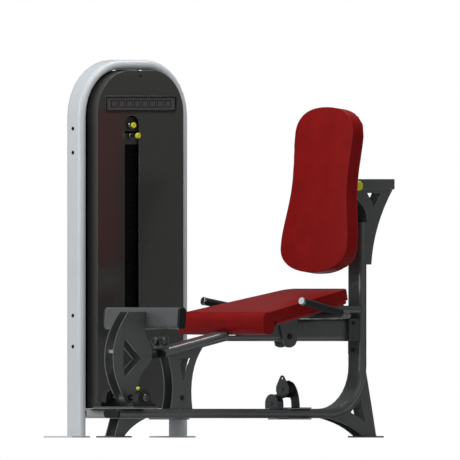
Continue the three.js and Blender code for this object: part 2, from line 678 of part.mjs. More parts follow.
function buildUpperPulley() {
  const z = 194;
  const teardrop = new THREE.Shape().absarc(0, z, 37, Math.PI - 0.35, 2 * Math.PI + 0.35);
  teardrop.absarc(2, z + 42, 13, 0.35, Math.PI - 0.35);
  teardrop.closePath();
  teardrop.holes.push(new THREE.Path().absarc(2, z + 43, 5, 0, 2 * Math.PI));
  const foot = BASE_TOP + GAP;
  const arm = new THREE.Shape().moveTo(-54, foot).lineTo(-10, foot).lineTo(-8, 146);
  arm.quadraticCurveTo(-4, 162, 16, 172);
  arm.absarc(0, z, 30, -0.7, 2.4);
  arm.quadraticCurveTo(-48, 188, -54, 132);
  arm.closePath();
  const front = plateAlong(teardrop, 5, 849, 10);
  const rear = plateAlong(arm, PLATE, 890, 8);
  const axle = cylinder(5, 50, "x", [872, 0, z], 16);
  const head = cylinder(8, 5, "x", [847, 0, z], 6);
  add("upper_pulley_bracket", join(front, rear, axle, head), SILVER);
  add("upper_pulley", pulley(35, 24, 7), BLACK, { position: [872, 0, z] });
}

// --- Weight tower -------------------------------------------------------------------------------------

function buildTower() {
  const left = TOWER.x - TOWER.half;
  const right = TOWER.x + TOWER.half;
  const top = TOWER.top - TUBE_THIN / 2;
  const y = TOWER.y;
  const corners = [[left, y, 3], [left, y, top], [right, y, top], [right, y, 3]];
  const arch = sweep(ovalSection(TUBE_WIDE, TUBE_THIN), corners, TOWER.bend, 8, 3);
  const cross = extrude(ovalSection(TUBE_WIDE, TUBE_THIN), right - left - 2 * 17, 4)
    .rotateX(Math.PI / 2)
    .rotateZ(Math.PI / 2)
    .translate(left + 17, y, BASE_Z);
  const feet = [left - 11, right + 11].map((x) => box([x - 50, y - 38, 0], [x + 50, y + 128, FLOOR_PLATE]));
  const drains = [left, right].map((x) => cylinder(8, 30, "z", [x, y, 5], 12));
  const holes = [1236, 1140, 488, 364].map((z) => cylinder(6, 20, "x", [left - TUBE_THIN / 2, y, z], 12));
  add("tower_frame", cut(join(arch, cross, ...feet), ...drains, ...holes), SILVER);
}

function shroudOutline(inset) {
  const w = SHROUD.width / 2 - inset;
  const r = SHROUD.round - inset;
  const bottom = SHROUD.bottom - inset; // so the tray is open underneath
  const top = SHROUD.top - inset;
  const shape = new THREE.Shape().moveTo(-w, bottom).lineTo(w, bottom);
  shape.absarc(w - r, top - r, r, 0, Math.PI / 2);
  shape.absarc(-w + r, top - r, r, Math.PI / 2, Math.PI);
  shape.closePath();
  return shape;
}

// A shroud is a tray with its face outwards, so the front one faces -Y and the rear one +Y.
function shroud(facing) {
  const shell = cut(
    plateAcross(shroudOutline(0), SHROUD.depth, SHROUD.depth / 2, 10),
    plateAcross(shroudOutline(SHROUD.skin), SHROUD.depth, SHROUD.depth / 2 + SHROUD.skin, 10),
  );
  const tabTop = TOWER.top - TUBE_THIN - GAP;
  const tab = box([-28, SHROUD.depth - 22, SHROUD.top - 8], [28, SHROUD.depth, tabTop]);
  const made = join(shell, tab);
  return facing > 0 ? made.rotateZ(Math.PI) : made;
}

function buildShrouds() {
  const slotHeight = SLOT.top - SLOT.bottom;
  const slot = plateAcross(
    roundRect(SLOT.width, slotHeight, SLOT.width / 2 - 0.5, SLOT.x - TOWER.x, SLOT.bottom + slotHeight / 2),
    30, 0, 8,
  );
  const front = cut(shroud(-1), slot).translate(TOWER.x, TOWER.y - SHROUD.reach, 0);
  add("front_shroud", front, SHROUD_PLASTIC);
  add("rear_shroud", shroud(1).translate(TOWER.x, TOWER.y + SHROUD.reach, 0), SHROUD_PLASTIC);
  const badge = plateAcross(roundRect(385, 63, 6, 0, 1336), 2, 0, 3);
  add("badge", badge.translate(TOWER.x, TOWER.y - SHROUD.reach - 1 - GAP, 0), STEEL);
}

// Two guide rods, the bridge that ties their tops, and the lugs of the top pulley.
function buildGuides() {
  const { x, y } = STACK;
  const bottom = BASE_TOP + GAP;
  const rods = [-1, 1].map((side) => {
    const rodX = x + side * ROD.spacing;
    return cylinder(ROD.r, ROD.top - bottom, "z", [rodX, y, (ROD.top + bottom) / 2], 16);
  });
  const collars = [-1, 1].map((side) => cylinder(17, 24, "z", [x + side * ROD.spacing, y, bottom + 12], 16));
  const bridge = box([x - 112, y - 22, ROD.top - 4], [x + 112, y + 22, ROD.top + 8]);
  const lugs = [-1, 1].map((side) => {
    const at = y + side * 17;
    return box([x - 14, at - 2.5, ROD.top + 4], [x + 14, at + 2.5, ROD.top + 50]);
  });
  const axle = cylinder(5, 44, "y", [x, y, ROD.top + 38], 16);
  add("guide_rods", join(...rods, ...collars, bridge, ...lugs, axle), STEEL);
  add("top_pulley", pulley(26, 24, 6).rotateZ(Math.PI / 2), BLACK, { position: [x, y, ROD.top + 38] });
}

// A block of plates seen from the side as a comb: the grooves are the joints between the plates.
function stackBlock(bottom, count) {
  const groove = 2;
  const half = STACK.deep / 2;
  const near = [];
  const far = [];
  for (let i = 0; i < count; i += 1) {
    const low = bottom + i * STACK.pitch + (i ? groove / 2 : 0);
    const high = bottom + (i + 1) * STACK.pitch - (i < count - 1 ? groove / 2 : 0);
    near.push([-half, low], [-half, high]);
    far.push([half, low], [half, high]);
    if (i < count - 1) {
      near.push([-half + 3, high], [-half + 3, high + groove]);
      far.push([half - 3, high], [half - 3, high + groove]);
    }
  }
  const corners = [...near, ...far.reverse()].reverse();
  const shape = new THREE.Shape(corners.map(([y, z]) => new THREE.Vector2(y, z)));
  return plateAlong(shape, STACK.wide, STACK.x - STACK.wide / 2).translate(0, STACK.y, 0);
}

function rodBores(bottom, top) {
  return [-1, 1].map((side) => {
    const x = STACK.x + side * ROD.spacing;
    return cylinder(ROD.bore, top - bottom + 20, "z", [x, STACK.y, (top + bottom) / 2], 16);
  });
}

function buildStack() {
  const middle = (STACK.bottom + STACK_TOP) / 2;
  const stem = cylinder(13, STACK_TOP - STACK.bottom + 40, "z", [STACK.x, STACK.y, middle], 16);
  const fixedTop = STACK_SPLIT - GAP;
  const fixed = stackBlock(STACK.bottom, STACK.fixed).translate(0, 0, -GAP);
  add("fixed_weights", cut(fixed, ...rodBores(STACK.bottom, fixedTop), stem), IRON);
  const lifted = stackBlock(STACK_SPLIT, STACK.lifted);
  add("lifted_weights", cut(lifted, ...rodBores(STACK_SPLIT, STACK_TOP), stem), IRON);
  const plate = roundRect(STACK.wide, 44, 9, STACK.x, STACK_TOP + GAP + 22);
  const head = plateAcross(plate, STACK.deep, STACK.y, 4);
  const rodLow = STACK_SPLIT - 120;
  const rodTop = STACK_TOP + 10;
  const rod = cylinder(12, rodTop - rodLow, "z", [STACK.x, STACK.y, (rodTop + rodLow) / 2], 16);
  add("head_plate", cut(join(head, rod), ...rodBores(STACK_TOP, HEAD_TOP)), IRON);
  const block = plateAcross(
    roundRect(STACK.wide - 20, ADD_ON_TOP - HEAD_TOP - 8, 26, STACK.x, (HEAD_TOP + ADD_ON_TOP) / 2 + 2),
    STACK.deep - 10, STACK.y, 5,
  );
  add("add_on_weight", cut(block, ...rodBores(HEAD_TOP, ADD_ON_TOP)), IRON);
}

function buildPins() {
  const front = STACK.y - STACK.deep / 2 - GAP;
  const profile = (reach) => [
    [0, 0], [9, 0], [9, 8], [5, 11], [5, reach - 16], [9, reach - 12], [11.5, reach - 9], [11.5, reach - 3],
    [8, reach], [0, reach],
  ];
  add("selector_pin", turned(profile(58), "-y", [0, 0, 0], 12), YELLOW, {
    position: [STACK.x, front, STACK_TOP + 35],
  });
  add("add_on_pin", turned(profile(36), "-y", [0, 0, 0], 12), YELLOW, {
    position: [STACK.x, front + 5, HEAD_TOP + 30],
  });
}

buildBase();
buildFrontFoot();
buildRearFoot();
buildCrossTube();
buildBearings();
buildLever();
buildFootBar();
buildSlopedRail();
buildGussets();
buildSeatRail();
buildRearRail();
buildSeat();
buildSeatCarrier();
buildHandles();
buildBackPad();
buildBackSlide();
buildBackBracket();
buildPopPin();
buildLowerPulley();
buildUpperPulley();
buildTower();
buildShrouds();
buildGuides();
buildStack();
buildPins();

// The part's origin is on the floor, at the middle of its footprint.
const bounds = new THREE.Box3().setFromObject(machine, true);
const middle = bounds.getCenter(new THREE.Vector3());
machine.position.set(-middle.x, -middle.y, -bounds.min.z);

export default machine;
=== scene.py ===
"""The looks of a selectorised leg machine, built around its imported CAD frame. Lengths are in metres."""

import json
import math

import bmesh
import bpy
from mathutils import Matrix, Vector
from mathutils.bvhtree import BVHTree
from mathutils.kdtree import KDTree


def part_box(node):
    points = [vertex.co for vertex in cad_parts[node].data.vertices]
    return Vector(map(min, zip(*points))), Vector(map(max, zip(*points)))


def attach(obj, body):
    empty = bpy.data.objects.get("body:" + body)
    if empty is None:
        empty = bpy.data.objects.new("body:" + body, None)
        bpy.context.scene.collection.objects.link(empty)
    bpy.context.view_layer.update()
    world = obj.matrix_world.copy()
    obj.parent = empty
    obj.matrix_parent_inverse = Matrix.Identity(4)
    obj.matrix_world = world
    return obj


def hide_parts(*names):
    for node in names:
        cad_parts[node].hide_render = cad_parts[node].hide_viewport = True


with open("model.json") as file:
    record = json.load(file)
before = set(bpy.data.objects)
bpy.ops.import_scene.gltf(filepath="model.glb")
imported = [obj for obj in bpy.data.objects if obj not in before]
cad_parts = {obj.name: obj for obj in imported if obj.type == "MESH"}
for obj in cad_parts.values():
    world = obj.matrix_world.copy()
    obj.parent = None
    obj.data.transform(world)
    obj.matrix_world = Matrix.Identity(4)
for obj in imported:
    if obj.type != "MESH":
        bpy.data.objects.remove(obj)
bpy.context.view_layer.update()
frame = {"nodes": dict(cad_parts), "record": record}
nodes = frame["nodes"]
record = frame["record"]
node_slot = {row["node"]: row["material_slot"] for row in record["subparts"]}
node_body = {n: body for body, names in record["behaviour"]["bodies"].items() for n in names}
scene = bpy.context.scene

MM = 0.001
VIEW_AZIMUTH = math.radians(-42.6)
VIEW_SCALE = 1.84
VIEW_OFFSET = 0.1283  # the picture's middle, to the right of the origin
VIEW_HEIGHT = 0.8304
SEAT_SLOPE = math.radians(10.7)
BACK_TILT = math.radians(7.2)
BACK_DEPTH = 0.055
GAP = 0.0003  # clearance between touching pieces
SHARP = math.radians(38)
# How bright the studio is all round, on the foot side, and overhead.
WORLD_BASE, WORLD_FOOT, WORLD_TOP = 0.12, 0.6, 0.35


# --- Camera, light and stage ---------------------------------------------------------------------------

def make_camera():
    data = bpy.data.cameras.new("camera")
    data.type = "ORTHO"
    data.ortho_scale = VIEW_SCALE
    data.clip_end = 60
    camera = bpy.data.objects.new("camera", data)
    back = Vector((math.sin(VIEW_AZIMUTH), -math.cos(VIEW_AZIMUTH), 0))
    right = Vector((math.cos(VIEW_AZIMUTH), math.sin(VIEW_AZIMUTH), 0))
    camera.location = right * VIEW_OFFSET + Vector((0, 0, VIEW_HEIGHT)) + back * 6
    camera.rotation_mode = "QUATERNION"
    camera.rotation_quaternion = (-back).to_track_quat("-Z", "Y")
    scene.collection.objects.link(camera)
    scene.camera = camera


def make_world():
    """A studio that is brightest overhead and on the foot side, and plain white behind the object."""
    world = bpy.data.worlds.new("studio")
    scene.world = world
    world.use_nodes = True
    tree = world.node_tree
    tree.nodes.clear()
    link = tree.links.new

    def maths(kind, first, second):
        made = tree.nodes.new("ShaderNodeMath")
        made.operation = kind
        for socket, value in zip(made.inputs, (first, second)):
            if isinstance(value, (int, float)):
                socket.default_value = value
            else:
                link(value, socket)
        return made.outputs[0]

    coords = tree.nodes.new("ShaderNodeTexCoord")
    split = tree.nodes.new("ShaderNodeSeparateXYZ")
    link(coords.outputs["Generated"], split.inputs[0])
    footward = maths("MAXIMUM", maths("MULTIPLY", split.outputs["X"], -1), 0)
    upward = maths("MAXIMUM", split.outputs["Z"], 0)
    foot_glow = maths("MULTIPLY", maths("POWER", footward, 2), WORLD_FOOT)
    top_glow = maths("MULTIPLY", maths("POWER", upward, 2), WORLD_TOP)
    light = tree.nodes.new("ShaderNodeBackground")
    light.inputs["Color"].default_value = (0.96, 0.98, 1, 1)
    link(maths("ADD", maths("ADD", foot_glow, top_glow), WORLD_BASE), light.inputs["Strength"])
    plain = tree.nodes.new("ShaderNodeBackground")
    plain.inputs["Color"].default_value = (1, 1, 1, 1)
    path = tree.nodes.new("ShaderNodeLightPath")
    mix = tree.nodes.new("ShaderNodeMixShader")
    out = tree.nodes.new("ShaderNodeOutputWorld")
    link(path.outputs["Is Camera Ray"], mix.inputs[0])
    link(light.outputs[0], mix.inputs[1])
    link(plain.outputs[0], mix.inputs[2])
    link(mix.outputs[0], out.inputs[0])


def area_light(name, place, target, size, power, colour=(1, 1, 1)):
    data = bpy.data.lights.new(name, "AREA")
    data.shape = "RECTANGLE"
    data.size, data.size_y = size
    data.energy = power
    data.color = colour
    lamp = bpy.data.objects.new(name, data)
    lamp.location = place
    lamp.rotation_mode = "QUATERNION"
    lamp.rotation_quaternion = (Vector(target) - Vector(place)).to_track_quat("-Z", "Y")
    scene.collection.objects.link(lamp)


def make_stage():
    mesh = bpy.data.meshes.new("floor")
    half = 30
    corners = [(-half, -half, 0), (half, -half, 0), (half, half, 0), (-half, half, 0)]
    mesh.from_pydata(corners, [], [(0, 1, 2, 3)])
    floor = bpy.data.objects.new("floor", mesh)
    floor.location.z = -0.0005
    scene.collection.objects.link(floor)
    floor.data.materials.append(plain_floor())


# --- Materials -----------------------------------------------------------------------------------------

class Finish:
    """A node material: object-space textures feed a Principled shader."""

    def __init__(self, name, colour, roughness, metallic=0.0, coat=0.0, specular=0.5):
        self.material = bpy.data.materials.new(name)
        self.material.use_nodes = True
        self.tree = self.material.node_tree
        self.shader = self.tree.nodes["Principled BSDF"]
        self.colour = colour
        self.roughness = roughness
        self.shader.inputs["Base Color"].default_value = (*colour, 1)
        self.shader.inputs["Roughness"].default_value = roughness
        self.shader.inputs["Metallic"].default_value = metallic
        self.shader.inputs["Coat Weight"].default_value = coat
        self.shader.inputs["Coat Roughness"].default_value = 0.15
        self.shader.inputs["Specular IOR Level"].default_value = specular
        self.coords = self.node("ShaderNodeTexCoord").outputs["Object"]

    def node(self, kind, **values):
        made = self.tree.nodes.new(kind)
        for key, value in values.items():
            if hasattr(made, key):
                setattr(made, key, value)
            else:
                made.inputs[key.replace("_", " ")].default_value = value
        return made

    def link(self, a, b):
        self.tree.links.new(a, b)

    def stretched(self, scale):
        mapping = self.node("ShaderNodeMapping")
        mapping.inputs["Scale"].default_value = scale
        self.link(self.coords, mapping.inputs["Vector"])
        return mapping.outputs[0]

    def noise(self, scale, detail=3, vector=None):
        made = self.node("ShaderNodeTexNoise", Scale=scale, Detail=detail)
        self.link(vector or self.coords, made.inputs["Vector"])
        return made.outputs["Fac"]

    def cells(self, scale, feature="F1"):
        made = self.node("ShaderNodeTexVoronoi", feature=feature, Scale=scale)
        self.link(self.coords, made.inputs["Vector"])
        return made.outputs["Distance"]

    def tint(self, source, share):
        """The colour drifts by share either side of its own value."""
        ramp = self.node("ShaderNodeValToRGB")
        ramp.color_ramp.elements[0].position = 0.3
        ramp.color_ramp.elements[1].position = 0.7
        ramp.color_ramp.elements[0].color = (*[c * (1 - share) for c in self.colour], 1)
        ramp.color_ramp.elements[1].color = (*[min(1, c * (1 + share)) for c in self.colour], 1)
        self.link(source, ramp.inputs["Fac"])
        self.link(ramp.outputs["Color"], self.shader.inputs["Base Color"])
        return self

    def gloss(self, source, spread):
        span = self.node("ShaderNodeMapRange")
        span.inputs["To Min"].default_value = self.roughness - spread
        span.inputs["To Max"].default_value = self.roughness + spread
        self.link(source, span.inputs["Value"])
        self.link(span.outputs[0], self.shader.inputs["Roughness"])
        return self

    def bump(self, source, strength, depth):
        made = self.node("ShaderNodeBump", Strength=strength, Distance=depth)
        self.link(source, made.inputs["Height"])
        self.link(made.outputs[0], self.shader.inputs["Normal"])
        return self


def powder_coat(name, colour, roughness, metallic=0.0):
    made = Finish(name, colour, roughness, metallic, coat=0.2)
    made.tint(made.noise(5, 3), 0.02)
    made.gloss(made.noise(12, 2), 0.012)
    made.bump(made.noise(420, 1), 0.015, 0.0001)
    return made.material


def casting(name, colour, specular=0.5):
    made = Finish(name, colour, 0.5, specular=specular)
    made.tint(made.noise(40, 6), 0.2)
    made.gloss(made.noise(90, 4), 0.1)
    made.bump(made.noise(260, 5), 0.5, 0.0009)
    return made.material


def turned_steel(name, colour):
    made = Finish(name, colour, 0.26, metallic=1.0)
    streaks = made.noise(45, 5, made.stretched((3, 40, 3)))
    made.tint(streaks, 0.1)
    made.gloss(streaks, 0.07)
    made.bump(streaks, 0.08, 0.0002)
    return made.material


def moulded(name, colour, roughness, grain=520, specular=0.5):
    made = Finish(name, colour, roughness, specular=specular)
    made.tint(made.noise(18, 4), 0.12)
    made.gloss(made.noise(70, 4), 0.04)
    made.bump(made.noise(grain, 3), 0.18, 0.0003)
    return made.material


def glossy_sheet(name, colour):
    made = Finish(name, colour, 0.12, coat=1.0)
    made.tint(made.noise(2.2, 3), 0.05)
    made.gloss(made.noise(9, 5), 0.035)
    made.bump(made.noise(3, 2), 0.06, 0.002)
    return made.material


def vinyl(name, colour, roughness=0.36):
    made = Finish(name, colour, roughness, specular=0.06)
    grain = made.cells(620)
    made.tint(made.noise(14, 6), 0.1)
    made.gloss(made.noise(110, 4), 0.05)
    made.bump(grain, 0.2, 0.0004)
    return made.material


def rubber(name, colour):
    made = Finish(name, colour, 0.62, specular=0.35)
    made.tint(made.noise(60, 5), 0.25)
    made.gloss(made.noise(140, 4), 0.08)
    made.bump(made.noise(900, 2), 0.35, 0.0004)
    return made.material


def brushed_badge(name, colour):
    made = Finish(name, colour, 0.34, metallic=0.7)
    lines = made.noise(60, 3, made.stretched((1, 1, 60)))
    made.tint(lines, 0.12)
    made.gloss(lines, 0.07)
    made.bump(lines, 0.06, 0.0002)
    return made.material


def plain_floor():
    made = Finish("floor", (0.6, 0.6, 0.6), 0.7, specular=0.2)
    made.tint(made.noise(0.6, 3), 0.01)
    return made.material


FINISHES = {
    "graphite_paint": powder_coat("graphite_paint", (0.095, 0.098, 0.098), 0.27, 0.3),
    "silver_paint": powder_coat("silver_paint", (0.53, 0.55, 0.565), 0.42, 0.0),
    "zinc_plate": powder_coat("zinc_plate", (0.05, 0.052, 0.054), 0.45, 0.4),
    "dark_zinc": powder_coat("dark_zinc", (0.05, 0.053, 0.052), 0.42, 0.4),
    "cast_iron": casting("cast_iron", (0.009, 0.0095, 0.009), 0.35),
    "weight_iron": casting("weight_iron", (0.0015, 0.0015, 0.0015), 0.08),
    "black_plastic": moulded("black_plastic", (0.003, 0.003, 0.003), 0.45, specular=0.25),
    "black_rubber": rubber("black_rubber", (0.004, 0.004, 0.004)),
    "bright_steel": turned_steel("bright_steel", (0.56, 0.57, 0.58)),
    "dark_steel": turned_steel("dark_steel", (0.2, 0.2, 0.2)),
    "red_vinyl": vinyl("red_vinyl", (0.2, 0.006, 0.006)),
    "red_board": moulded("red_board", (0.3, 0.003, 0.004), 0.32, specular=0.2),
    "shroud_plastic": glossy_sheet("shroud_plastic", (0.036, 0.036, 0.033)),
    "badge_plate": brushed_badge("badge_plate", (0.13, 0.13, 0.135)),
    "yellow_plastic": moulded("yellow_plastic", (0.62, 0.6, 0.02), 0.28, 300),
    "head_iron": casting("head_iron", (0.03, 0.031, 0.03)),
    "dark_ink": moulded("dark_ink", (0.004, 0.004, 0.005), 0.5, specular=0.2),
}


# --- Pieces --------------------------------------------------------------------------------------------

def add_piece(name, mesh, body, slot, finish=None, replaces=()):
    piece = bpy.data.objects.new(name, mesh)
    scene.collection.objects.link(piece)
    mesh.materials.clear()
    mesh.materials.append(FINISHES[finish or slot])
    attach(piece, body)
    if replaces:
        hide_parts(*replaces)
    return piece


def smooth(bm, sharp=SHARP):
    for face in bm.faces:
        face.smooth = True
    for edge in bm.edges:
        edge.smooth = len(edge.link_faces) == 2 and edge.calc_face_angle(0) < sharp


def to_mesh(bm, name, sharp=SHARP):
    bmesh.ops.recalc_face_normals(bm, faces=bm.faces)
    smooth(bm, sharp)
    mesh = bpy.data.meshes.new(name)
    bm.to_mesh(mesh)
    bm.free()
    return mesh


def cad_mesh(node):
    """A CAD node's mesh as clean flat and round faces: coincident points joined, flat faces dissolved."""
    bm = bmesh.new()
    bm.from_mesh(nodes[node].data)
    bmesh.ops.remove_doubles(bm, verts=bm.verts, dist=2e-5)
    bmesh.ops.dissolve_limit(bm, angle_limit=math.radians(0.6), verts=bm.verts, edges=bm.edges)
    return bm


SPECIAL_FINISH = {
    "head_plate": "head_iron",
    "add_on_weight": "head_iron",
    "upper_pulley_bracket": "dark_zinc",
    "pivot_shaft": "dark_steel",
    "grip_cap_left": "dark_steel",
    "grip_cap_right": "dark_steel",
    "pop_pin_barrel": "dark_steel",
    "grease_nipple_right": "dark_ink",
}


def refine(node, width=0.0012):
    """The CAD shape with eased edges and smooth rounds, in its own finish."""
    mesh = to_mesh(cad_mesh(node), f"{node}_finished")
    finish = SPECIAL_FINISH.get(node)
    piece = add_piece(f"{node}_finished", mesh, node_body[node], node_slot[node], finish, (node,))
    ease = piece.modifiers.new("ease", "BEVEL")
    ease.limit_method = "ANGLE"
    ease.angle_limit = SHARP
    ease.width = width
    ease.segments = 2
    ease.use_clamp_overlap = True
    even = piece.modifiers.new("even", "WEIGHTED_NORMAL")
    even.keep_sharp = True
    return piece


def centre_of(node):
    low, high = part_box(node)
    return (low + high) / 2


def spot(x, y, z):
    """A place in mm: behind the lever's pivot, on the tower's side of the seat's middle, above the floor."""
    return centre_of("pivot_shaft") + Vector((x, y, z - 160)) * MM


def turned_mesh(bm, profile, place, axis, sides=32):
    """A lathe shape: (radius, distance along the axis) pairs turned about axis, starting at place."""
    turn = Vector((0, 0, 1)).rotation_difference(Vector(axis)).to_matrix().to_4x4()
    move = Matrix.Translation(place) @ turn
    rings = []
    for radius, along in profile:
        if radius == 0:
            rings.append([bm.verts.new(move @ Vector((0, 0, along)))])
            continue
        angles = [2 * math.pi * i / sides for i in range(sides)]
        around = [Vector((radius * math.cos(a), radius * math.sin(a), along)) for a in angles]
        rings.append([bm.verts.new(move @ point) for point in around])
    for a, b in zip(rings, rings[1:]):
        for i in range(sides):
            j = (i + 1) % sides
            corners = [a[i % len(a)], a[j % len(a)], b[j % len(b)], b[i % len(b)]]
            bm.faces.new(list(dict.fromkeys(corners)))


def hex_bolt(bm, place, axis, size=0.010, shaft=0.0):
    """A washer and a chamfered hexagon head, standing on place."""
    washer = [(0, -shaft), (size * 1.25, -shaft), (size * 1.25, 0.0012), (size * 1.15, 0.0016), (0, 0.0016)]
    turned_mesh(bm, washer, place, axis, 28)
    head = [(0, 0.0016), (size, 0.0016), (size, size * 0.62), (size * 0.86, size * 0.76), (0, size * 0.76)]
    turned_mesh(bm, head, place, axis, 6)


def fasteners(name, places, body="frame", size=0.010, slot="cast_iron"):
    bm = bmesh.new()
    for place, axis in places:
        hex_bolt(bm, Vector(place), axis, size)
    return add_piece(name, to_mesh(bm, name), body, slot)


def cord_mesh(bm, points, radius, closed=True, sides=8):
    """A round bead along points."""
    count = len(points)
    rings = []
    for i, point in enumerate(points):
        before = points[i - 1] if closed or i else point
        after = points[(i + 1) % count] if closed or i < count - 1 else point
        along = (after - before).normalized()
        side = along.cross(Vector((0.13, 0.31, 0.94))).normalized()
        up = along.cross(side)
        angles = [2 * math.pi * k / sides for k in range(sides)]
        rings.append([bm.verts.new(point + radius * (side * math.cos(a) + up * math.sin(a))) for a in angles])
    pairs = list(zip(rings, rings[1:] + rings[:1])) if closed else list(zip(rings, rings[1:]))
    for a, b in pairs:
        for k in range(sides):
            bm.faces.new((a[k], a[(k + 1) % sides], b[(k + 1) % sides], b[k]))
    if not closed:
        bm.faces.new(rings[0])
        bm.faces.new(rings[-1])


# --- Padded pieces -------------------------------------------------------------------------------------

def seam_points(bm, step=0.004):
    """Points along a solid's sharp edges, where its cover is sewn."""
    points = []
    for edge in bm.edges:
        if len(edge.link_faces) == 2 and edge.calc_face_angle(0) > math.radians(30):
            a, b = (v.co for v in edge.verts)
            count = max(1, math.ceil((b - a).length / step))
            points += [a.lerp(b, k / count) for k in range(count + 1)]
    return points


def stuffed(node, frame_matrix, shrink, cap, voxel=0.004, bm=None):
    """A pad swollen from its solid: remeshed square to its own frame, blown up as cloth between its
    seams, which stay where they are, then capped."""
    if bm is None:
        bm = cad_mesh(node)
        bmesh.ops.transform(bm, matrix=frame_matrix.inverted(), verts=bm.verts)
    seams = seam_points(bm)
    mesh = bpy.data.meshes.new(f"{node}_cover")
    bm.to_mesh(mesh)
    bm.free()
    pad = bpy.data.objects.new(f"{node}_cover", mesh)
    scene.collection.objects.link(pad)
    remesh = pad.modifiers.new("remesh", "REMESH")
    remesh.mode = "VOXEL"
    remesh.voxel_size = voxel
    soften = pad.modifiers.new("soften", "SMOOTH")
    soften.iterations = 1
    slim = pad.modifiers.new("slim", "DISPLACE")
    slim.strength = -shrink
    slim.mid_level = 0
    bake(pad)
    start = [v.co.copy() for v in pad.data.vertices]
    pin_seams(pad, seams, voxel + shrink)
    blow_up(pad)
    for vertex, before in zip(pad.data.vertices, start):
        move = vertex.co - before
        if move.length > cap:
            vertex.co = before + move.normalized() * cap
    even = pad.modifiers.new("even", "SMOOTH")
    even.iterations = 1
    bake(pad)
    pad.data.transform(frame_matrix)
    for face in pad.data.polygons:
        face.use_smooth = True
    return pad


def pin_seams(pad, seams, reach):
    tree = KDTree(len(seams))
    for i, point in enumerate(seams):
        tree.insert(point, i)
    tree.balance()
    held = [v.index for v in pad.data.vertices if tree.find(v.co)[2] < reach]
    pad.vertex_groups.new(name="seams").add(held, 1.0, "REPLACE")


def bake(piece):
    """Applies a piece's modifiers to its mesh."""
    graph = bpy.context.evaluated_depsgraph_get()
    made = bpy.data.meshes.new_from_object(piece.evaluated_get(graph))
    piece.modifiers.clear()
    piece.data = made


def blow_up(pad):
    cloth = pad.modifiers.new("cloth", "CLOTH")
    cloth.settings.use_pressure = True
    cloth.settings.uniform_pressure_force = 4
    cloth.settings.effector_weights.gravity = 0
    cloth.settings.quality = 4
    cloth.settings.vertex_group_mass = "seams"
    for number in range(1, 21):
        scene.frame_set(number)
    bake(pad)
    scene.frame_set(1)


def cover(pad, node):
    pad.data.materials.clear()
    pad.data.materials.append(FINISHES["red_vinyl"])
    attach(pad, node_body[node])
    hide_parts(node)
    finer = pad.modifiers.new("finer", "SUBSURF")
    finer.levels = finer.render_levels = 1


def surface_of(piece):
    bm = bmesh.new()
    bm.from_mesh(piece.data)
    tree = BVHTree.FromBMesh(bm)
    bm.free()
    return tree


def piping(name, points, pad, body, radius=0.0022):
    """A welt that lies in the pad's surface along points."""
    tree = surface_of(pad)
    laid = []
    for point in points:
        place, normal, _, _ = tree.find_nearest(point)
        laid.append(place + normal * radius * 0.1)
    for _ in range(3):
        laid = [(laid[i - 1] + laid[i] * 2 + laid[(i + 1) % len(laid)]) / 4 for i in range(len(laid))]
    bm = bmesh.new()
    cord_mesh(bm, laid, radius)
    add_piece(name, to_mesh(bm, name, math.pi), body, "red_vinyl")


def spread(corners, step=0.006):
    """Points every step along a closed run of corners."""
    points = []
    for a, b in zip(corners, corners[1:] + corners[:1]):
        count = max(1, round((b - a).length / step))
        points += [a.lerp(b, k / count) for k in range(count)]
    return points


def rounded(corners, radius, parts=6):
    """A closed run of corners with each corner turned into a round of radius."""
    points = []
    for i, corner in enumerate(corners):
        a = (corners[i - 1] - corner).normalized()
        b = (corners[(i + 1) % len(corners)] - corner).normalized()
        start, end = corner + a * radius, corner + b * radius
        for k in range(parts + 1):
            t = k / parts
            points.append(start.lerp(corner, t).lerp(corner.lerp(end, t), t))
    return points


def seat_frame():
    """The seat's own frame: its origin is the front top edge, x runs rearwards up the slope."""
    return Matrix.Translation(spot(537, 0, 500)) @ Matrix.Rotation(-SEAT_SLOPE, 4, "Y")


def make_seat():
    at = seat_frame()
    pad = stuffed("seat_pad", at, 0.0006, 0.005)
    cover(pad, "seat_pad")
    front, rear, length = 0.2525, 0.179, 0.52

    def run(z, inset, near):
        corners = [Vector((near, -front + inset, z)), Vector((length - inset, -rear + inset, z)),
                   Vector((length - inset, rear - inset, z)), Vector((near, front - inset, z))]
        return [at @ p for p in spread(rounded(corners, 0.028 - inset))]

    piping("seat_top_welt", run(-0.003, 0.003, 0.004), pad, "frame")
    piping("seat_bottom_welt", run(-0.044, 0.0, 0.04), pad, "frame")
    for side, sign in (("left", -1), ("right", 1)):
        y = sign * 252.5
        corners = [spot(x, y, z) for x, z in ((514, 412.4), (575, 412.4), (575, 500.4), (514, 500.4))]
        piping(f"seat_front_welt_{side}", spread(rounded(corners, 0.022)), pad, "frame", 0.0018)


def back_frame():
    """The back cushion's own frame: its origin is the front face's lowest point, z runs up the slope."""
    low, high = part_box("back_board")
    corners = [v.co for v in nodes["back_board"].data.vertices]
    normal = Vector((math.cos(BACK_TILT), 0, -math.sin(BACK_TILT)))
    front = min(p.dot(normal) for p in corners) - BACK_DEPTH - GAP
    up = Vector((math.sin(BACK_TILT), 0, math.cos(BACK_TILT)))
    foot = min(p.dot(up) for p in corners) - 0.005
    middle = (low.y + high.y) / 2
    origin = normal * front + up * foot
    return Matrix.Translation((origin.x, middle, origin.z)) @ Matrix.Rotation(BACK_TILT, 4, "Y")


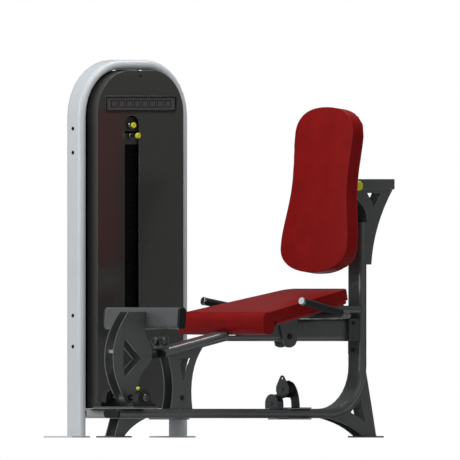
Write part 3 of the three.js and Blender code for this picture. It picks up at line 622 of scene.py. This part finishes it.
def back_edge(inset, depth, parts=30):
    """Points round the hourglass outline of the back cushion, at a depth behind its front face."""
    runs = [((0, 0), (120, 0), (196, 40), (196, 105)), ((196, 105), (196, 190), (161, 270), (161, 372)),
            ((161, 372), (161, 450), (171, 500), (171, 555)), ((171, 555), (171, 630), (110, 667), (0, 667))]
    half = []
    for a, b, c, d in runs:
        for k in range(parts):
            t = k / parts
            weights = ((1 - t) ** 3, 3 * t * (1 - t) ** 2, 3 * t * t * (1 - t), t ** 3)
            half.append(tuple(sum(w * p[i] for w, p in zip(weights, (a, b, c, d))) * MM for i in (0, 1)))
    outline = half + [(0, 0.667)] + [(-y, z) for y, z in reversed(half[1:])]
    middle = 0.33
    made = []
    for y, z in outline:
        reach = math.hypot(y, z - middle)
        share = 1 - inset / reach
        made.append(Vector((depth, y * share, middle + (z - middle) * share)))
    return made


def back_solid():
    """The back cushion from its smooth outline, with a small round at its front edge."""
    bm = bmesh.new()
    layers = [[bm.verts.new(p) for p in back_edge(inset, depth)] for inset, depth in
              ((0.0015, 0.0), (0.0, 0.0015), (0.0, BACK_DEPTH))]
    bm.faces.new(layers[0])
    bm.faces.new(layers[-1])
    for a, b in zip(layers, layers[1:]):
        for i in range(len(a)):
            bm.faces.new((a[i - 1], a[i], b[i], b[i - 1]))
    bmesh.ops.recalc_face_normals(bm, faces=bm.faces)
    return bm


def make_back():
    at = back_frame()
    pad = stuffed("back_pad", at, 0.0003, 0.004, bm=back_solid())
    cover(pad, "back_pad")
    piping("back_front_welt", [at @ p for p in back_edge(0.001, 0.001)], pad, "backrest", 0.0016)
    piping("back_rear_welt", [at @ p for p in back_edge(0.001, BACK_DEPTH - 0.002)], pad, "backrest", 0.0016)


# --- Detailed pieces -----------------------------------------------------------------------------------

def make_grips():
    """Ribbed rubber sleeves, turned about the axis that their CAD tubes lie on."""
    for side in ("left", "right"):
        node = f"grip_{side}"
        cap = centre_of(f"grip_cap_{side}")
        along = (centre_of(node) - cap).normalized()
        points = [v.co.copy() for v in nodes[node].data.vertices]
        spans = [(p - cap).dot(along) for p in points]
        start, end = min(spans), max(spans)
        inner, outer, rib, dip = 0.0133, 0.0157, 0.0062, 0.0009
        profile = [(inner, 0), (outer - 0.001, 0), (outer, 0.001)]
        count = int((end - start - 0.02) / rib)
        for k in range(count):
            x = 0.01 + k * rib
            profile += [(outer, x), (outer - dip, x + 0.0008), (outer - dip, x + 0.0022), (outer, x + 0.003)]
        length = end - start
        profile += [(outer, length - 0.001), (outer - 0.001, length), (inner, length), (inner, 0)]
        bm = bmesh.new()
        turned_mesh(bm, profile, cap + along * start, along, 28)
        bmesh.ops.remove_doubles(bm, verts=bm.verts, dist=1e-6)
        add_piece(f"{node}_ribbed", to_mesh(bm, node), "frame", "black_rubber", None, (node,))


def make_weight_pins():
    """The two weight pins: a dark stem in the weights and a yellow knob in front of the shroud."""
    for node, reach in (("selector_pin", 0.058), ("add_on_pin", 0.036)):
        low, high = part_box(node)
        start = Vector(((low.x + high.x) / 2, high.y, (low.z + high.z) / 2))
        stem_end = reach - 0.014
        collar = [(0, 0), (0.009, 0), (0.009, 0.008), (0.005, 0.011), (0.005, stem_end), (0, stem_end)]
        knob = [(0, reach - 0.016), (0.0075, reach - 0.016), (0.0095, reach - 0.0125),
                (0.0113, reach - 0.010), (0.0115, reach - 0.008), (0.0115, reach - 0.0035),
                (0.0105, reach - 0.0012), (0.0085, reach - 0.0002), (0.006, reach),
                (0.0045, reach - 0.0012), (0, reach - 0.0014)]
        for part, profile, slot, finish in (("stem", collar, "yellow_plastic", "dark_steel"),
                                            ("knob", knob, "yellow_plastic", "yellow_plastic")):
            bm = bmesh.new()
            turned_mesh(bm, profile, start, (0, -1, 0), 32)
            add_piece(f"{node}_{part}", to_mesh(bm, node), node, slot, finish, (node,))


def make_badge():
    """A plain plate with a raised dark border and a row of plain blocks."""
    refine("badge", 0.0005)
    low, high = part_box("badge")
    face = low.y - 0.0004
    bm = bmesh.new()
    inset = 0.004
    left, right = low.x + inset, high.x - inset
    bottom, top = low.z + inset, high.z - inset
    border = ((left, bottom), (right, bottom), (right, top), (left, top))
    corners = [Vector((x, face, z)) for x, z in border]
    cord_mesh(bm, spread(rounded(corners, 0.006), 0.02), 0.004, sides=6)
    middle = (low.z + high.z) / 2
    margin, count = 0.025, 8
    pitch = (high.x - low.x - 2 * margin) / count
    half_wide, half_high = pitch * 0.36, 0.013
    for k in range(count):
        x = low.x + margin + (k + 0.5) * pitch
        signs = ((-1, -1), (1, -1), (1, 1), (-1, 1))
        block = [Vector((x + a * half_wide, face, middle + b * half_high)) for a, b in signs]
        cord_mesh(bm, spread(block, 0.02), 0.0018, sides=6)
    add_piece("badge_border", to_mesh(bm, "badge_border"), "frame", "badge_plate", "dark_ink")


def make_fasteners():
    """Bolts and screws that are too small for the CAD model."""
    sides = (-1, 1)
    lug_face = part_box("seat_rail")[1].x - 0.006
    lug = [(Vector((lug_face, spot(0, 0, 0).y, 0.350)), (-1, 0, 0))]
    cheeks = [(spot(1204, s * 35.5, 459), (0, s, 0)) for s in sides]
    fasteners("flange_bolts", lug + cheeks, size=0.0075)
    blocks = []
    for side in ("left", "right"):
        low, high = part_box(f"pillow_block_{side}")
        y = (low.y + high.y) / 2
        blocks += [((x, y, low.z + 0.0135), (0, 0, 1)) for x in (low.x + 0.014, high.x - 0.014)]
    fasteners("pillow_block_bolts", blocks, size=0.0085)
    fasteners("seat_bolts", [(spot(864.5, s * 28.2, 404), (0, s, 0)) for s in sides], size=0.010)
    fasteners("gusset_bolts", [(spot(280.5, s * 28.2, 160), (0, s, 0)) for s in sides], size=0.0085)
    low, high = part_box("front_shroud")
    screws = [((low.x + high.x) / 2, low.y, 1.449)]
    screws += [(x, low.y, 0.135) for x in (low.x + 0.012, high.x - 0.012)]
    bm = bmesh.new()
    dome = [(0, 0), (0.0065, 0), (0.0062, 0.0015), (0.004, 0.0032), (0.0022, 0.0032), (0.0018, 0.0015),
            (0, 0.0015)]
    for place in screws:
        turned_mesh(bm, dome, Vector(place), (0, -1, 0), 24)
    add_piece("shroud_screws", to_mesh(bm, "shroud_screws"), "frame", "cast_iron")
    bm = bmesh.new()
    head = [(0, -0.002), (0.0075, -0.002), (0.0075, 0.0008), (0.0062, 0.002), (0.003, 0.002), (0.003, 0),
            (0, 0)]
    for z in (364, 488, 1140, 1236):
        turned_mesh(bm, head, spot(412, 761, z), (-1, 0, 0), 24)
    add_piece("tower_screws", to_mesh(bm, "tower_screws"), "frame", "cast_iron", "dark_ink")


def make_bearing_rings():
    """The bright inner rings of the pillow-block bearings, which turn with the shaft."""
    centre = centre_of("pivot_shaft")
    profile = [(0.0101, 0.007), (0.0136, 0.007), (0.0146, 0.006), (0.0146, 0.0006), (0.0101, 0.0006),
               (0.0101, 0.007)]
    bm = bmesh.new()
    for side, sign in (("left", -1), ("right", 1)):
        low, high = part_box(f"pillow_block_{side}")
        face = low.y if sign < 0 else high.y
        turned_mesh(bm, profile, Vector((centre.x, face, centre.z)), (0, sign, 0), 36)
    bmesh.ops.remove_doubles(bm, verts=bm.verts, dist=1e-6)
    add_piece("bearing_rings", to_mesh(bm, "bearing_rings"), "lever", "bright_steel", "dark_steel")


def make_plate_holes():
    """The ring round each weight plate's selector hole."""
    pitch = 0.0258
    for node, body in (("fixed_weights", "frame"), ("lifted_weights", "weights")):
        low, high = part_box(node)
        count = round((high.z - low.z) / pitch)
        x = centre_of(node).x
        bm = bmesh.new()
        for k in range(count):
            z = low.z + (k + 0.5) * pitch
            ring = [(0.0045, 0), (0.008, 0), (0.0075, 0.0012), (0.0055, 0.0012), (0.0045, 0)]
            turned_mesh(bm, ring, Vector((x, low.y - 0.0001, z)), (0, -1, 0), 20)
        bmesh.ops.remove_doubles(bm, verts=bm.verts, dist=1e-6)
        add_piece(f"{node}_hole_rings", to_mesh(bm, node), body, "weight_iron")


def weld(bm, a, b, radius=0.0026):
    """A rippled bead from a to b."""
    a, b = Vector(a), Vector(b)
    count = max(3, round((b - a).length / 0.004))
    points = [a.lerp(b, k / count) for k in range(count + 1)]
    lifted = [p + Vector((0, 0, 0.0005 * math.sin(1.9 * i))) for i, p in enumerate(points)]
    cord_mesh(bm, lifted, radius, closed=False, sides=6)


def make_welds():
    bm = bmesh.new()
    base_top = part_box("lever_platform")[0].z
    for side in ("left", "right"):
        low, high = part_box(f"front_gusset_{side}")
        start = low.x + 0.016
        for y in (low.y, high.y):
            weld(bm, (start, y, base_top + 0.0008), (start + 0.112, y, base_top + 0.0008))
        low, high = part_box(f"back_bracket_{side}")
        for y in (low.y, high.y):
            weld(bm, (low.x + 0.01, y, high.z), (high.x - 0.012, y, high.z))
    plate_top = 0.0065
    for node, spans in (("front_foot", (0.031, 0.079)), ("rear_foot", (-0.082, -0.022))):
        low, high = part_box(node)
        x = low.x if node == "front_foot" else high.x
        for y in (-0.027, 0.027):
            at = centre_of(node).y + y
            for edge in (-0.003, 0.003):
                weld(bm, (x + spans[0], at + edge, plate_top), (x + spans[1], at + edge, plate_top))
    add_piece("frame_welds", to_mesh(bm, "frame_welds", math.pi), "frame", "graphite_paint")


SOFT_NODES = ("seat_pad", "back_pad")
MADE_NODES = ("grip_left", "grip_right", "badge", "selector_pin", "add_on_pin")
THIN_NODES = ("grease_nipple_left", "grease_nipple_right", "pop_pin_barrel")


def darken_bracket(rail):
    """The bolted box at the rail's rear end is given the dark_zinc finish, darker than the rail's."""
    rail.data.materials.append(FINISHES["dark_zinc"])
    start = spot(1180, 0, 0).x - 0.0005
    for face in rail.data.polygons:
        if min(rail.data.vertices[i].co.x for i in face.vertices) > start:
            face.material_index = 1


def make_metalwork():
    for node in sorted(nodes):
        if node in SOFT_NODES + MADE_NODES:
            continue
        piece = refine(node, 0.0005 if node in THIN_NODES else 0.0012)
        if node == "seat_rail":
            darken_bracket(piece)


scene.view_settings.view_transform = "Standard"
make_camera()
make_world()
make_stage()
area_light("overhead", (0.0, 0.0, 4.2), (0, 0, 0.6), (4.0, 3.0), 32)
area_light("foot_side", (-4.6, 0.6, 2.0), (0, 0, 0.7), (2.2, 3.0), 112, (0.93, 0.97, 1))
area_light("near_side", (1.0, -5.0, 1.9), (0, 0, 0.8), (3.0, 2.0), 16)
area_light("strip", (0.2, -0.6, 3.0), (0, -0.3, 0.2), (3.4, 0.3), 38)
make_metalwork()
make_seat()
make_back()
make_grips()
make_weight_pins()
make_badge()
make_fasteners()
make_bearing_rings()
make_plate_holes()
make_welds()
